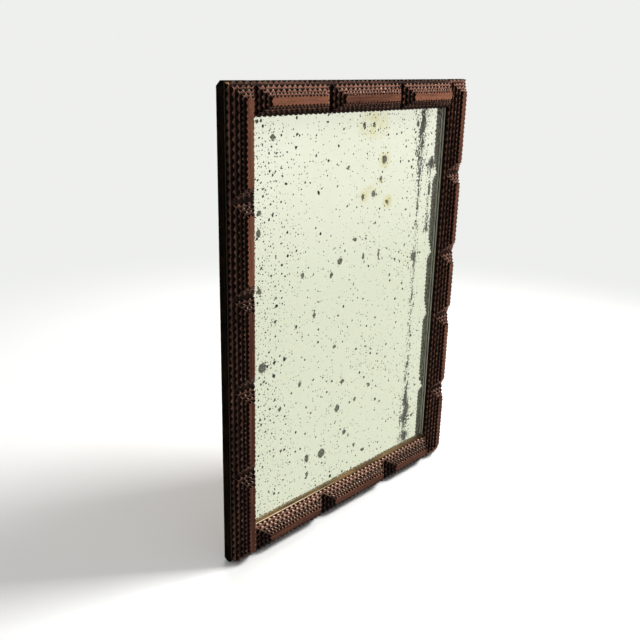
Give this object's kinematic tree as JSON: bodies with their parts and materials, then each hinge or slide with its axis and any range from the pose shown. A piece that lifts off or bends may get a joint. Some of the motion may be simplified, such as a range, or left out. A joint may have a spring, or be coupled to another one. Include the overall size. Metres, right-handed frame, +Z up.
{
  "type": "tramp art mirror frame",
  "caption": "Wall mirror in a tramp art frame: stepped layers of notch-carved box wood, broken into short stacks, over base boards and battens that hold a foxed glass.",
  "frame": {"origin": "middle of the top batten's rear face, which lies against the wall", "axes": "+X right along the wall, +Y into the wall, +Z up"},
  "size_m": [0.457, 0.0324, 0.6101],
  "materials": {
    "notched_wood": "dark stained box wood with notch-carved edges, pale where the tips are worn",
    "cap_wood": "reddish brown box wood, rubbed and dull",
    "base_wood": "bare golden wood at the lip, dark stained outside",
    "batten_wood": "near-black stained softwood",
    "backboard_wood": "bare aged softwood board",
    "mirror": "old silvering with dark foxing",
    "iron": "dark oxidised iron wire",
    "brass": "dull aged brass"
  },
  "bodies": {
    "root": {"left_base_board": "base_wood", "left_batten": "batten_wood", "left_ground_strip": "notched_wood", "left_second_strips": "notched_wood", "left_third_strips": "notched_wood", "left_fourth_strip_1": "notched_wood", "left_cap_strip_1": "cap_wood", "left_fourth_strip_2": "notched_wood", "left_cap_strip_2": "cap_wood", "left_fourth_strip_3": "notched_wood", "left_cap_strip_3": "cap_wood", "left_fourth_strip_4": "notched_wood", "left_cap_strip_4": "cap_wood", "left_fourth_strip_5": "notched_wood", "left_cap_strip_5": "cap_wood", "right_base_board": "base_wood", "right_batten": "batten_wood", "right_ground_strip": "notched_wood", "right_second_strips": "notched_wood", "right_third_strips": "notched_wood", "right_fourth_strip_1": "notched_wood", "right_cap_strip_1": "cap_wood", "right_fourth_strip_2": "notched_wood", "right_cap_strip_2": "cap_wood", "right_fourth_strip_3": "notched_wood", "right_cap_strip_3": "cap_wood", "right_fourth_strip_4": "notched_wood", "right_cap_strip_4": "cap_wood", "right_fourth_strip_5": "notched_wood", "right_cap_strip_5": "cap_wood", "top_base_board": "base_wood", "top_batten": "batten_wood", "top_ground_strip": "notched_wood", "top_second_strips": "notched_wood", "top_third_strips": "notched_wood", "top_fourth_strip_1": "notched_wood", "top_cap_strip_1": "cap_wood", "top_fourth_strip_2": "notched_wood", "top_cap_strip_2": "cap_wood", "top_fourth_strip_3": "notched_wood", "top_cap_strip_3": "cap_wood", "bottom_base_board": "base_wood", "bottom_batten": "batten_wood", "bottom_ground_strip": "notched_wood", "bottom_second_strips": "notched_wood", "bottom_third_strips": "notched_wood", "bottom_fourth_strip_1": "notched_wood", "bottom_cap_strip_1": "cap_wood", "bottom_fourth_strip_2": "notched_wood", "bottom_cap_strip_2": "cap_wood", "bottom_fourth_strip_3": "notched_wood", "bottom_cap_strip_3": "cap_wood", "mirror_glass": "mirror", "backboard": "backboard_wood", "stack_brads": "iron", "batten_nails": "iron", "backboard_sprigs": "iron", "left_screw_eye": "brass", "right_screw_eye": "brass"}
  },
  "joints": []
}
